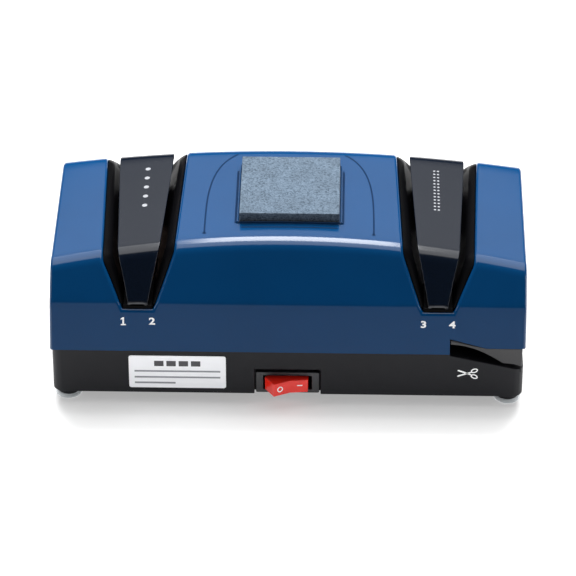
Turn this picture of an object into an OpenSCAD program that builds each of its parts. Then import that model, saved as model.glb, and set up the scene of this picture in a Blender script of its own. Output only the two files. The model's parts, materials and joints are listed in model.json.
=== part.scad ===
// Electric knife sharpener: two grinding stations with two knife slots each, a scissors slot at the
// right end, a rocker switch in the front and a hand whetstone on top.
// Millimetres. X runs to the right, Y to the back and Z up. The front faces -Y, the feet stand on z = 0
// and the origin is under the middle of the whole machine.

/* [Housing] */
// Width of the upper housing
housing_w = 232; // [230:1:236]
// Depth of the upper housing at the parting line
housing_d = 119; // [117:0.5:121]
// How far the wheels' axis lies in front of the middle of the upper housing
axis_ahead = 2.5; // [2:0.1:3]
// Height of the parting line between base and upper housing
parting_z = 31.8; // [31:0.1:32.5]
// Height of the top in the middle of the machine
top_z = 78.7; // [78:0.1:79.5]
// How much lower the top is at both ends
crown = 9; // [7:0.5:10]
// Wall thickness of the upper housing
housing_wall = 2.5; // [2.2:0.1:2.8]

/* [Base] */
// Height of the base's underside
base_z = 6.2; // [6:0.1:6.5]
// Step from the upper housing in to the base
base_step = 0.75; // [0.5:0.05:1]
// Wall thickness of the base
base_wall = 2.2; // [2:0.1:2.4]
// Radius of the base's upright corners
base_corner_r = 5; // [4:0.5:6]

/* [Stations] */
// Distance of each station's middle from the middle of the machine
station_x = 73; // [72:0.5:74]
// Half width of the housing's mouth at the shoulder
mouth_half = 17.5; // [17:0.1:18]
// Half width of the mouth at its lower front end
mouth_foot_half = 7.5; // [7.2:0.1:7.8]
// Half width of the wheel hood at the shoulder
hood_half = 10.15; // [9.9:0.05:10.4]
// Half width of the hood at its foot
hood_foot_half = 4.6; // [4.4:0.1:4.8]
// Width of each knife slot
slot_w = 2.7; // [2.4:0.1:2.9]

/* [Drive] */
// Height of the motor axis
axis_z = 42; // [41.5:0.1:42.5]
// Radius of the motor shaft
shaft_r = 4; // [3.5:0.1:4]
// Running clearance between shaft and bearing
running_gap = 0.05; // [0.02:0.01:0.08]
// Radius of the motor can
can_r = 25; // [24.5:0.1:25.2]
// Radius of the grinding wheels
wheel_r = 24; // [23:0.5:24]
// Radius of the scissors wheel
scissors_wheel_r = 20.5; // [20:0.5:21.5]

/* [Whetstone] */
// Width of the stone
stone_w = 49; // [48:0.5:50]
// Depth of the stone
stone_d = 51; // [50:0.5:51.5]
// How far the stone stands above the housing
stone_proud = 4.9; // [4:0.1:5.5]

/* [Switch] */
// Width of the switch bezel
bezel_w = 31; // [30:0.5:31.5]
// Height of the switch bezel
bezel_h = 12.2; // [12:0.1:12.4]
// Half of the rocker's full swing in degrees
rocker_tilt = 15; // [12:1:16]

/* [Hidden] */
$fn = 64;

// Outline of the upper housing's end, as [y, z] points.
half_w = housing_w / 2;
front_y = axis_ahead - housing_d / 2;
back_y = axis_ahead + housing_d / 2;
waist = [front_y + 7.7, parting_z + 22.4];
shoulder_top = [front_y + 28, top_z];
crest_y = back_y - 2;
face_lean = (shoulder_top[0] - waist[0]) / (shoulder_top[1] - waist[1]);
foot_lean = (waist[0] - front_y) / (waist[1] - parting_z);
back_lean = (back_y - crest_y) / (top_z - parting_z);
waist_r = 9;
shoulder_r = 12;
crest_r = 12;
crown_steps = 12;
end_round = 1.6;

// Base.
base_half_w = half_w - base_step;
base_half_d = housing_d / 2 - base_step;
base_front_y = front_y + base_step;
base_back_y = back_y - base_step;
base_top_z = parting_z - 0.3;
base_floor_z = base_z + base_wall;
floor_slot_w = 3;
foot_x = 108.2;
foot_y = [base_front_y + 9, base_back_y - 9];
foot_r = 6.5;
foot_h = 2.9;
foot_stem_r = 2.6;
foot_boss_r = 6;

// Stations.
mouth_taper = 2.7 / 85.3;
hood_taper = 3.85 / 85.3;
mouth_foot_z = parting_z + 19.6;
ledge_z = mouth_foot_z + 1.8;
ledge_t = 3.2;
station_drop = crown * pow(station_x / half_w, 2);
station_top_z = top_z - station_drop;
knee_z = station_top_z - 3;
far_y = 66;
wheel_room_d = 54;
wheel_room_half = 10.5;
hood_window_z = 65;
hood_screw_r = 1.4;
hood_screw_y = [-41, 45];

// Drive, along the X axis through y = 0 and z = axis_z.
wheel_hub_half = 8.8;
wheel_flank_r = 12;
wheel_rim_half = 4.8;
wheel_flank_half = 8.4;
scissors_x = 89;
scissors_hub_half = 5;
nut_h = 4;
washer_t = 1;
shaft_left = -station_x - wheel_hub_half - washer_t - nut_h - 2.2;
shaft_right = scissors_x + scissors_hub_half + washer_t + nut_h + 2.2;
can_left = -32;
can_right = 34;
bell_t = 3;
hub_l = 5;
rotor_r = 17.8;
rotor_left = -23;
rotor_right = 15;
rotor_slots = 12;
commutator_r = 8;
magnet_r = 18.6;
can_wall = 1.6;
bearing_r = 7;
saddle_x = [-25, 27];
saddle_w = 6;
damper_r = can_r + 2;
strap_r = damper_r + 1.5;
strap_ear_y = 32.5;

// Scissors slot at the right end.
slot_left_x = 79;
slot_back_y = -9;
slot_floor_left_z = base_top_z - 0.9;
slot_floor_right_z = 22.1;
notch_left_z = parting_z + 7.4;
notch_right_z = parting_z + 3.1;
notch_bend_x = 97;
scissors_room_x = 94;
scissors_room_y = -27;
guide_right_x = half_w - 1.6;

// Switch.
switch_z = 12.3;
pocket_y = base_front_y + 3;
pocket_half_w = bezel_w / 2 + 0.7;
pocket_top_z = 21;
bezel_t = 1.8;
bezel_y = pocket_y - bezel_t;
pivot_y = bezel_y + 1.45;
pin_r = 1;
rocker_h = 7.4;
rocker_tip = [8.6, -6.56];
rocker_dip = 5.2;
rocker_skirt = [11.3, 1];
window_half_w = 11.9;
window_h = 8.4;
body_half_w = 13.5;
body_h = 10.6;
body_back_y = -38;
front_reach = -pivot_y + rocker_tip[0] * sin(rocker_tilt) - rocker_tip[1] * cos(rocker_tilt);

// Whetstone.
stone_y = 13;
seat_z = top_z - 2;
pad_t = 0.5;

// Posts and pillars.
post_front_y = front_y + 9;
post_rear_y = back_y - 7.1;
post_x = [50, 97];
post_places = [
    [-post_x[1], post_front_y], [-post_x[0], post_front_y], [post_x[0], post_front_y],
    [-post_x[1], post_rear_y], [-post_x[0], post_rear_y], [post_x[0], post_rear_y], [post_x[1], post_rear_y]
];
post_foot_z = 16;
post_top_z = ledge_z - ledge_t - 2;
gland_x = -72;
gland_z = 19;
gland_bore_r = 3.6;
gland_inner_y = base_back_y - 6;
board_y = 44;
board_t = 1.6;
pillar_x = 24;
lead_r = 1.1;
lead_z = 11;
lead_front_y = body_back_y - 3;
lead_tab_y = body_back_y + 5;
lead_end_y = board_y - 1.9;

function unit(v) = v / norm(v);

// Arc of radius r that rounds the corner b between a and c, in n steps.
function corner_arc(a, b, c, r, n) =
    let (
        u = unit(a - b),
        v = unit(c - b),
        half = acos(u * v) / 2,
        centre = b + unit(u + v) * r / sin(half),
        p = b + u * r / tan(half) - centre,
        q = b + v * r / tan(half) - centre,
        turn = acos((p * q) / (r * r)) * sign(p[0] * q[1] - p[1] * q[0])
    )
    [for (i = [0 : n])
        let (t = turn * i / n)
        centre + [p[0] * cos(t) - p[1] * sin(t), p[0] * sin(t) + p[1] * cos(t)]];

function crown_drop(x) = crown * pow(x / half_w, 2);

// Corner b between a and c, moved inwards so that both of its sides are set in by inset.
function inset_corner(a, b, c, inset) =
    let (
        u = unit(a - b),
        v = unit(c - b)
    )
    b + unit(u + v) * inset / sin(acos(u * v) / 2);

// Side outline of the upper housing at x, set in by inset and carried down past the parting line by skirt.
function housing_outline(x, inset, skirt) =
    let (
        drop = crown_drop(x),
        shoulder = shoulder_top - drop * [face_lean, 1],
        crest = [crest_y + drop * back_lean, top_z - drop],
        foot = [front_y - skirt * foot_lean, parting_z - skirt],
        heel = [back_y + skirt * back_lean, parting_z - skirt],
        corners = [foot, waist, shoulder, crest, heel],
        c = [for (i = [0 : 4]) inset_corner(corners[(i + 4) % 5], corners[i], corners[(i + 1) % 5], inset)]
    )
    concat(
        [c[0]],
        corner_arc(c[0], c[1], c[2], waist_r - inset, 4),
        corner_arc(c[1], c[2], c[3], shoulder_r - inset, 6),
        corner_arc(c[2], c[3], c[4], crest_r - inset / 2, 4),
        [c[4]]
    );

// Solid between two outlines of equal length, given as lists of [x, y, z] points.
module loft(near, far) {
    n = len(near);
    hull()
        polyhedron(
            points = concat(near, far),
            faces = concat(
                [[for (i = [0 : n - 1]) i]],
                [[for (i = [0 : n - 1]) 2 * n - 1 - i]],
                [for (i = [0 : n - 1]) [i, n + i, n + (i + 1) % n, (i + 1) % n]]
            )
        );
}

function housing_section(x, inset, skirt) = [for (p = housing_outline(x, inset, skirt)) [x, p[0], p[1]]];

// The housing's rounded form, set in by inset, through a list of [x, extra inset] stations.
module housing_form(inset, skirt, stations) {
    for (i = [0 : len(stations) - 2])
        loft(
            housing_section(stations[i][0], inset + stations[i][1], skirt),
            housing_section(stations[i + 1][0], inset + stations[i + 1][1], skirt)
        );
}

function spread(lo, hi, steps) = [for (i = [0 : steps]) [lo + (hi - lo) * i / steps, 0]];

// Half width of a mouth or hood at depth y, where it is half wide at the shoulder.
function widened(half, taper, y) = half + (y - shoulder_top[0]) * taper;

// Upright outline at depth y of a wedge that is foot_half wide at the ledge and top_half wide at the top.
function wedge_section(x, y, top_half, foot_half) =
    let (
        rise = (top_half - foot_half) / (station_top_z - ledge_z),
        low = mouth_foot_z - 8,
        high = top_z + 6,
        low_half = foot_half + (low - ledge_z) * rise,
        high_half = foot_half + (high - ledge_z) * rise
    )
    [[x - low_half, y, low], [x + low_half, y, low], [x + high_half, y, high], [x - high_half, y, high]];

// Wedge along a station from the front to the back, widening with the taper.
module station_wedge(x, half, taper, foot_half) {
    loft(
        wedge_section(x, -far_y, widened(half, taper, -far_y), foot_half),
        wedge_section(x, far_y, widened(half, taper, far_y), foot_half)
    );
}

// Opening in the housing's skin, smaller all round by gap: the plan outline, narrowed by the front and
// back outlines.
module mouth_form(x, gap) {
    front_half = mouth_half - gap;
    back_half = widened(front_half, mouth_taper, far_y);
    translate([x, 0, 0])
        intersection() {
            translate([0, 0, parting_z])
                linear_extrude(height = top_z)
                    polygon([
                        [-front_half, -far_y], [front_half, -far_y], [front_half, shoulder_top[0]],
                        [back_half, far_y], [-back_half, far_y], [-front_half, shoulder_top[0]]
                    ]);
            union() {
                mouth_outline(widened(front_half, mouth_taper, 0), gap, -far_y, 1);
                mouth_outline(widened(front_half, mouth_taper, crest_y), gap, 0, far_y + 1);
            }
        }
}

module mouth_outline(half, gap, from_y, to_y) {
    high = top_z + 9;
    foot_half = mouth_foot_half - gap;
    translate([0, to_y, 0])
        rotate([90, 0, 0])
            linear_extrude(height = to_y - from_y)
                polygon([
                    [-foot_half, mouth_foot_z], [foot_half, mouth_foot_z], [half, knee_z],
                    [far_y, knee_z], [far_y, high], [-far_y, high], [-far_y, knee_z], [-half, knee_z]
                ]);
}

module box(lo, hi) {
    translate(lo)
        cube(hi - lo);
}

// Rectangle with rounded corners, centred.
module rounded_rectangle(w, d, r) {
    square([w - 2 * r, d], center = true);
    square([w, d - 2 * r], center = true);
    for (sx = [-1, 1], sy = [-1, 1])
        translate([sx * (w / 2 - r), sy * (d / 2 - r)])
            circle(r = r);
}

// Cylinder along +X that starts at x on the motor axis.
module on_axis(x, length, r) {
    translate([x, 0, axis_z])
        rotate([0, 90, 0])
            cylinder(r = r, h = length);
}

module ring_on_axis(x, length, outer_r, inner_r) {
    difference() {
        on_axis(x, length, outer_r);
        on_axis(x - 1, length + 2, inner_r);
    }
}

module bolt(r, head_r, head_h, length) {
    translate([0, 0, -head_h])
        cylinder(r = head_r, h = head_h);
    cylinder(r = r, h = length);
}

// ---- Housing ----

module upper_housing() {
    outer = concat(
        [[-half_w, end_round], [-half_w + end_round * 0.3, end_round * 0.3], [-half_w + end_round, 0]],
        spread(-half_w + end_round * 4, half_w - end_round * 4, crown_steps),
        [[half_w - end_round, 0], [half_w - end_round * 0.3, end_round * 0.3], [half_w, end_round]]
    );
    hollow = spread(-half_w + housing_wall, half_w - housing_wall, 10);
    color([0.12, 0.29, 0.5])
        difference() {
            union() {
                difference() {
                    housing_form(0, 0, outer);
                    housing_form(housing_wall, 8, hollow);
                }
                intersection() {
                    housing_form(0.6, 0, spread(-half_w + 1, half_w - 1, 6));
                    union() {
                        for (p = post_places)
                            translate([p[0], p[1], parting_z])
                                cylinder(r = 5, h = post_top_z - parting_z);
                        translate([-stone_w / 2 - 3, stone_y - stone_d / 2 - 3, seat_z - 2.6])
                            cube([stone_w + 6, stone_d + 6, 4]);
                    }
                }
                for (p = post_places)
                    translate([p[0], p[1], post_foot_z + 0.1])
                        cylinder(r = 4, h = parting_z - post_foot_z + 3);
            }
            for (p = post_places)
                translate([p[0], p[1], post_foot_z - 1])
                    cylinder(r = 1.6, h = 17);
            mouth_form(-station_x, 0);
            mouth_form(station_x, 0);
            translate([-stone_w / 2 - 0.4, stone_y - stone_d / 2 - 0.4, seat_z])
                cube([stone_w + 0.8, stone_d + 0.8, 10]);
            translate([0, slot_back_y - 0.5, 0])
                rotate([90, 0, 0])
                    linear_extrude(height = housing_d)
                        polygon([
                            [slot_left_x, parting_z - 9], [slot_left_x, notch_left_z],
                            [notch_bend_x, notch_right_z], [half_w + 9, notch_right_z],
                            [half_w + 9, parting_z - 9]
                        ]);
        }
}

module base_outline(inset) {
    translate([0, axis_ahead])
        rounded_rectangle(2 * (base_half_w - inset), 2 * (base_half_d - inset), base_corner_r - inset);
}

// Sloping floor of the scissors slot, thickened downwards by t, from y0 to y1.
module scissors_ramp(t, x0, x1, y0, y1) {
    slope = (slot_floor_right_z - slot_floor_left_z) / (base_half_w - slot_left_x);
    z0 = slot_floor_left_z + (x0 - slot_left_x) * slope;
    z1 = slot_floor_left_z + (x1 - slot_left_x) * slope;
    translate([0, y1, 0])
        rotate([90, 0, 0])
            linear_extrude(height = y1 - y0)
                polygon([[x0, z0], [x1, z1], [x1, z1 - t], [x0, z0 - t]]);
}

module base_shell() {
    color([0.15, 0.15, 0.17])
        difference() {
            union() {
                difference() {
                    translate([0, 0, base_z])
                        linear_extrude(height = base_top_z - base_z)
                            base_outline(0);
                    translate([0, 0, base_floor_z])
                        linear_extrude(height = base_top_z)
                            base_outline(base_wall);
                }
                box([-pocket_half_w - 2, base_front_y + 1, base_z],
                    [pocket_half_w + 2, pocket_y + 2, pocket_top_z + 2]);
                for (x = saddle_x)
                    box([x - saddle_w / 2, -37, base_z], [x + saddle_w / 2, 37, axis_z]);
                for (p = post_places)
                    translate([p[0], p[1], base_z])
                        cylinder(r = 5.5, h = post_foot_z - base_z);
                for (sx = [-1, 1], y = foot_y)
                    translate([sx * foot_x, y, foot_h])
                        cylinder(r = foot_boss_r, h = base_floor_z - foot_h + 2);
                for (sx = [-1, 1])
                    box([sx * pillar_x - 3, board_y + board_t, base_z],
                        [sx * pillar_x + 3, board_y + board_t + 6, 34]);
                scissors_ramp(2, slot_left_x - 2, base_half_w - 1, base_front_y + 1, scissors_room_y);
                scissors_ramp(2, scissors_room_x, base_half_w - 1, scissors_room_y - 1, slot_back_y);
            }
            scissors_ramp(-20, slot_left_x, half_w + 9, -housing_d, scissors_room_y);
            scissors_ramp(-20, scissors_room_x, half_w + 9, scissors_room_y - 1, slot_back_y);
            box([-pocket_half_w, -housing_d, 0], [pocket_half_w, pocket_y, pocket_top_z]);
            box([-body_half_w - 0.2, -housing_d, switch_z - body_h / 2 - 0.1],
                [body_half_w + 0.2, body_back_y + 8, switch_z + body_h / 2 + 0.1]);
            for (x = saddle_x) {
                on_axis(x - saddle_w, 2 * saddle_w, damper_r);
                for (sy = [-1, 1])
                    translate([x, sy * strap_ear_y, axis_z - 9])
                        cylinder(r = 1.5, h = 10);
            }
            for (p = post_places) {
                translate([p[0], p[1], 0])
                    cylinder(r = 1.9, h = 30);
                translate([p[0], p[1], 0])
                    cylinder(r = 3.6, h = 12);
            }
            for (sx = [-1, 1], y = foot_y)
                translate([sx * foot_x, y, 0])
                    cylinder(r = foot_stem_r, h = 20);
            for (x = [-17 : 6 : 19])
                translate([x, 0, 0])
                    floor_slot();
            translate([gland_x, base_back_y + 1, gland_z])
                rotate([90, 0, 0])
                    cylinder(r = 5.5, h = 9);
            for (sx = [-1, 1])
                translate([sx * pillar_x, board_y + board_t + 5, 30])
                    rotate([90, 0, 0])
                        cylinder(r = 1.2, h = 9);
        }
}

// Cooling slot through the base's floor.
module floor_slot() {
    half_l = 14;
    translate([-floor_slot_w / 2, -half_l, 0])
        cube([floor_slot_w, 2 * half_l, 12]);
    for (sy = [-1, 1])
        translate([0, sy * half_l, 0])
            cylinder(r = floor_slot_w / 2, h = 12);
}

// ---- Stations ----

module slot_liner(x) {
    reach = mouth_half + 6;
    near = spread(x - reach, x + reach, 4);
    color([0.03, 0.03, 0.035])
        difference() {
            union() {
                intersection() {
                    housing_form(0.8, 0, near);
                    mouth_form(x, 0.3);
                    translate([x - reach, -far_y, mouth_foot_z + 0.1])
                        cube([2 * reach, 2 * far_y, top_z]);
                }
                intersection() {
                    housing_form(housing_wall + 0.3, 0, near);
                    station_wedge(x, mouth_half + 1.6, mouth_taper, mouth_foot_half + 2.6);
                    translate([x - reach, -far_y, ledge_z - ledge_t - 0.6])
                        cube([2 * reach, 2 * far_y, top_z]);
                }
            }
            intersection() {
                station_wedge(x, hood_half + slot_w, hood_taper, hood_foot_half + slot_w);
                translate([x - reach, -far_y, ledge_z])
                    cube([2 * reach, 2 * far_y, top_z]);
            }
            translate([x - wheel_room_half, -wheel_room_d / 2, parting_z])
                cube([2 * wheel_room_half, wheel_room_d, ledge_z + 4 - parting_z]);
            for (y = hood_screw_y)
                translate([x, y, parting_z])
                    cylinder(r = hood_screw_r + 0.2, h = top_z);
            on_axis(scissors_x - scissors_hub_half - 0.7, 12, scissors_wheel_r + 1);
            mouth_shoulders(x, reach);
        }
}

// Rounded shoulders of the liner, which roll down from the housing's edge into the knife slots.
module mouth_shoulders(x, reach) {
    near = spread(x - reach, x + reach, 4);
    for (step = [[1.6, 1.3], [3, 2.4], [4, 3.8]])
        difference() {
            station_wedge(x, mouth_half - step[0], mouth_taper, mouth_foot_half - 0.2);
            housing_form(0.8 + step[1], 40, near);
        }
}

module wheel_hood(x) {
    near = spread(x - mouth_half, x + mouth_half, 4);
    color([0.05, 0.05, 0.055])
        difference() {
            intersection() {
                housing_form(0.15, 0, near);
                station_wedge(x, hood_half, hood_taper, hood_foot_half);
                translate([x - mouth_half, -far_y, ledge_z + 0.05])
                    cube([2 * mouth_half, 2 * far_y, top_z]);
            }
            intersection() {
                housing_form(2.2, 0, near);
                station_wedge(x, hood_half - 1.7, hood_taper, hood_foot_half - 1.7);
                translate([x - mouth_half, -wheel_room_d / 2, parting_z])
                    cube([2 * mouth_half, wheel_room_d + 10, top_z]);
            }
            translate([x - mouth_half, -wheel_room_d / 2 + 1, ledge_z - 1])
                cube([2 * mouth_half, wheel_room_d - 2, hood_window_z - ledge_z + 1]);
            for (y = hood_screw_y)
                translate([x, y, parting_z])
                    cylinder(r = hood_screw_r + 0.1, h = 30);
        }
}

module coarse_slot_liner() slot_liner(-station_x);
module fine_slot_liner() slot_liner(station_x);
module coarse_wheel_hood() wheel_hood(-station_x);
module fine_wheel_hood() wheel_hood(station_x);

module scissors_guide() {
    lip_start = [slot_left_x + 0.4, parting_z + 4.7];
    lip_end = [105, 25.8];
    lip_pull = [[90, 36.2], [97.5, 31.2]];
    lip = [for (i = [0 : 10])
        let (t = i / 10, s = 1 - t)
        lip_start * s * s * s + 3 * s * t * (lip_pull[0] * s + lip_pull[1] * t) + lip_end * t * t * t];
    color([0.1, 0.1, 0.105])
        difference() {
            translate([0, slot_back_y - 1, 0])
                rotate([90, 0, 0])
                    linear_extrude(height = slot_back_y - 1 - base_front_y - 0.8)
                        polygon(concat(
                            lip,
                            [[110.5, 25.2], [guide_right_x, 23.8], [guide_right_x, notch_right_z - 0.3],
                             [notch_bend_x, notch_right_z - 0.3], [slot_left_x + 0.4, notch_left_z - 0.35]]
                        ));
            box([slot_left_x - 1, scissors_room_y, base_z], [scissors_room_x, slot_back_y, top_z]);
            scissors_ramp(30, slot_left_x, half_w, -housing_d, slot_back_y);
        }
}

// ---- Stone, label and feet ----

module whetstone() {
    color([0.53, 0.6, 0.67])
        translate([-stone_w / 2, stone_y - stone_d / 2, seat_z + pad_t])
            cube([stone_w, stone_d, top_z + stone_proud - seat_z - pad_t]);
}

module whetstone_adhesive_pad() {
    color([0.85, 0.85, 0.8])
        translate([0, stone_y, seat_z])
            linear_extrude(height = pad_t)
                rounded_rectangle(stone_w - 4, stone_d - 4, 2);
}

module information_label() {
    color([0.93, 0.93, 0.95])
        translate([-53.9, base_front_y, 19])
            rotate([90, 0, 0])
                linear_extrude(height = 0.25)
                    rounded_rectangle(47.5, 19.2, 1.2);
}

// Clear suction foot with a flat rim, a hollow underside and a stem that snaps into the base.
module suction_foot(x, y) {
    color([0.85, 0.9, 0.92, 0.6])
        translate([x, y, 0])
            rotate_extrude()
                polygon(concat(
                    [[0, 1.3], [3, 1.1], [5.4, 0], [foot_r - 0.4, 0], [foot_r, 0.5], [foot_r - 0.6, 1.6]],
                    [[foot_boss_r - 1.5, foot_h], [foot_stem_r - 0.1, foot_h], [foot_stem_r - 0.1, 10.6]],
                    [[foot_stem_r + 0.9, 10.6], [foot_stem_r + 0.9, 11.2], [1.5, 13.2], [0, 13.2]]
                ));
}

module foot_front_left() suction_foot(-foot_x, foot_y[0]);
module foot_front_right() suction_foot(foot_x, foot_y[0]);
module foot_rear_left() suction_foot(-foot_x, foot_y[1]);
module foot_rear_right() suction_foot(foot_x, foot_y[1]);

// ---- Fasteners of the housing ----

module housing_screws() {
    color([0.7, 0.7, 0.72])
        for (p = post_places)
            translate([p[0], p[1], 12])
                difference() {
                    bolt(1.5, 3.2, 2, 19);
                    translate([0, 0, -3])
                        screw_cross(2);
                }
}

// Cross recess of a screw head.
module screw_cross(depth) {
    for (turn = [0, 90])
        rotate([0, 0, turn])
            translate([-1.5, -0.35, 0])
                cube([3, 0.7, depth]);
}

module hood_screws() {
    color([0.7, 0.7, 0.72])
        for (sx = [-1, 1], y = hood_screw_y)
            translate([sx * station_x, y, ledge_z - ledge_t - 0.6])
                bolt(hood_screw_r, 2.7, 1.6, 10);
}

module cord_gland() {
    color([0.06, 0.06, 0.06])
        translate([gland_x, 0, gland_z])
            rotate([-90, 0, 0])
                difference() {
                    union() {
                        translate([0, 0, base_back_y])
                            cylinder(r = 7.5, h = 0.7);
                        translate([0, 0, base_back_y - 5])
                            cylinder(r = 5.4, h = front_reach - base_back_y + 5);
                        translate([0, 0, gland_inner_y])
                            cylinder(r = 7, h = base_back_y - base_wall - 0.1 - gland_inner_y);
                    }
                    translate([0, 0, gland_inner_y - 2])
                        cylinder(r = gland_bore_r, h = 30);
                }
}

// ---- Switch ----

module switch_body() {
    color([0.16, 0.17, 0.18])
        difference() {
            union() {
                translate([0, pocket_y, switch_z])
                    rotate([90, 0, 0])
                        linear_extrude(height = bezel_t)
                            rounded_rectangle(bezel_w, bezel_h, 0.8);
                box([-body_half_w, pocket_y - 0.5, switch_z - body_h / 2],
                    [body_half_w, body_back_y, switch_z + body_h / 2]);
            }
            box([-window_half_w, bezel_y - 1, switch_z - window_h / 2],
                [window_half_w, body_back_y - 3, switch_z + window_h / 2]);
            translate([0, pivot_y, switch_z - window_h / 2 - 1.2])
                cylinder(r = pin_r + running_gap, h = window_h + 2.4);
        }
}

module switch_rocker() {
    color([0.8, 0.06, 0.05])
        translate([0, pivot_y, switch_z])
            rotate([0, 0, rocker_tilt]) {
                translate([0, 0, -rocker_h / 2])
                    linear_extrude(height = rocker_h)
                        polygon([
                            [-rocker_skirt[0], rocker_skirt[1]], [-rocker_tip[0], rocker_tip[1]],
                            [0, -rocker_dip], rocker_tip, rocker_skirt, [5.5, 5.5], [-5.5, 5.5]
                        ]);
                translate([0, 0, -window_h / 2 - 1])
                    cylinder(r = pin_r, h = window_h + 2);
            }
}

module switch_terminals() {
    color([0.8, 0.72, 0.45])
        for (x = [-8, 0, 8])
            box([x - 0.4, body_back_y, switch_z - 2.4], [x + 0.4, body_back_y + 8, switch_z + 2.4]);
}

// ---- Motor ----

module motor_can() {
    color([0.62, 0.63, 0.65])
        ring_on_axis(can_left, can_right - can_left, can_r, can_r - can_wall);
}

// Two arc magnets, front and back.
module field_magnets() {
    color([0.2, 0.2, 0.21])
        for (turn = [90, 270])
            translate([rotor_left - 3, 0, axis_z])
                rotate([turn - 35, 0, 0])
                    rotate([0, 90, 0])
                        rotate_extrude(angle = 70)
                            translate([magnet_r, 0])
                                square([can_r - can_wall - magnet_r - 0.05, rotor_right - rotor_left + 6]);
}

// End bell whose hub points along dir, with its inner face at x.
module end_bell(x, dir) {
    translate([x, 0, axis_z])
        rotate([0, dir * 90, 0])
            difference() {
                union() {
                    cylinder(r = can_r, h = bell_t);
                    translate([0, 0, -2])
                        difference() {
                            cylinder(r = can_r - can_wall - 0.05, h = 2.5);
                            translate([0, 0, -1])
                                cylinder(r = can_r - can_wall - 1.6, h = 5);
                        }
                    cylinder(r = bearing_r + 2.5, h = bell_t + hub_l);
                }
                translate([0, 0, 1.5])
                    cylinder(r = bearing_r, h = bell_t + hub_l);
                translate([0, 0, -3])
                    cylinder(r = shaft_r + 1.2, h = bell_t + hub_l);
                for (side = [-1, 1])
                    translate([side * 19.5, 0, -3])
                        cylinder(r = 1.5, h = 8);
            }
}

module left_end_bell() {
    color([0.75, 0.75, 0.76])
        end_bell(can_left, -1);
}

module right_end_bell() {
    color([0.75, 0.75, 0.76])
        end_bell(can_right, 1);
}

module motor_bearing(x, dir) {
    color([0.8, 0.8, 0.78])
        translate([x + dir * 1.5, 0, axis_z])
            rotate([0, dir * 90, 0])
                difference() {
                    cylinder(r = bearing_r, h = bell_t + hub_l - 2);
                    translate([0, 0, -1])
                        cylinder(r = shaft_r + running_gap, h = bell_t + hub_l + 2);
                }
}

module left_motor_bearing() motor_bearing(can_left, -1);
module right_motor_bearing() motor_bearing(can_right, 1);

module motor_tie_screws() {
    color([0.7, 0.7, 0.72])
        for (side = [-1, 1])
            translate([can_left - bell_t, 0, axis_z + side * 19.5])
                rotate([0, 90, 0])
                    bolt(1.5, 2.8, 1.8, can_right - can_left + 2 * bell_t);
}

module brush_holders() {
    color([0.8, 0.66, 0.35])
        for (side = [-1, 1])
            difference() {
                box([23.5, side > 0 ? 10 : -21, axis_z - 4], [can_right, side > 0 ? 21 : -10, axis_z + 4]);
                box([24.5, side > 0 ? 9 : -20, axis_z - 3], [30.5, side > 0 ? 20 : -9, axis_z + 3]);
            }
}

module carbon_brushes() {
    color([0.13, 0.13, 0.13])
        difference() {
            for (side = [-1, 1])
                box([24.6, side > 0 ? 6 : -15, axis_z - 2.9], [30.4, side > 0 ? 15 : -6, axis_z + 2.9]);
            on_axis(20, 15, commutator_r + 0.05);
        }
}

// Points of a helical wire's surface along Z, as rings of ring_n points.
function coil_point(i, j, coil_r, wire_r, pitch, per_turn, ring_n) =
    let (a = 360 * i / per_turn, b = 360 * j / ring_n, r = coil_r + wire_r * cos(b))
    [r * cos(a), r * sin(a), pitch * i / per_turn + wire_r * sin(b)];

module coil_spring(coil_r, wire_r, pitch, turns) {
    per_turn = 12;
    ring_n = 6;
    n = turns * per_turn;
    polyhedron(
        points = [for (i = [0 : n], j = [0 : ring_n - 1])
            coil_point(i, j, coil_r, wire_r, pitch, per_turn, ring_n)],
        faces = concat(
            [for (i = [0 : n - 1], j = [0 : ring_n - 1])
                let (a = i * ring_n + j, b = i * ring_n + (j + 1) % ring_n)
                [a, b, b + ring_n, a + ring_n]],
            [[for (j = [ring_n - 1 : -1 : 0]) j]],
            [[for (j = [0 : ring_n - 1]) n * ring_n + j]]
        )
    );
}

module brush_springs() {
    color([0.75, 0.75, 0.75])
        for (side = [-1, 1])
            translate([27.5, side * 15.4, axis_z])
                rotate([-side * 90, 0, 0])
                    coil_spring(2, 0.3, 1, 4);
}

module motor_dampers() {
    color([0.08, 0.08, 0.08])
        for (x = saddle_x)
            ring_on_axis(x - saddle_w / 2, saddle_w, damper_r, can_r);
}

module motor_straps() {
    color([0.66, 0.67, 0.69])
        for (x = saddle_x)
            difference() {
                union() {
                    on_axis(x - saddle_w / 2, saddle_w, strap_r);
                    box([x - saddle_w / 2, -strap_ear_y - 3.5, axis_z],
                        [x + saddle_w / 2, strap_ear_y + 3.5, axis_z + 1.5]);
                }
                on_axis(x - saddle_w, 2 * saddle_w, damper_r);
                box([x - saddle_w, -damper_r - 9, 0], [x + saddle_w, damper_r + 9, axis_z + 0.02]);
                for (side = [-1, 1])
                    translate([x, side * strap_ear_y, axis_z - 5])
                        cylinder(r = 1.6, h = 10);
            }
}

module motor_strap_screws() {
    color([0.7, 0.7, 0.72])
        for (x = saddle_x, side = [-1, 1])
            translate([x, side * strap_ear_y, axis_z + 1.5])
                rotate([180, 0, 0])
                    bolt(1.5, 2.8, 1.8, 9);
}

module thermal_cutout() {
    color([0.1, 0.1, 0.1])
        box([-8, can_r + 0.05, axis_z - 4], [6, can_r + 4, axis_z + 4]);
}

// ---- Rotating parts ----

module motor_shaft() {
    color([0.78, 0.78, 0.8])
        on_axis(shaft_left, shaft_right - shaft_left, shaft_r);
}

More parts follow.
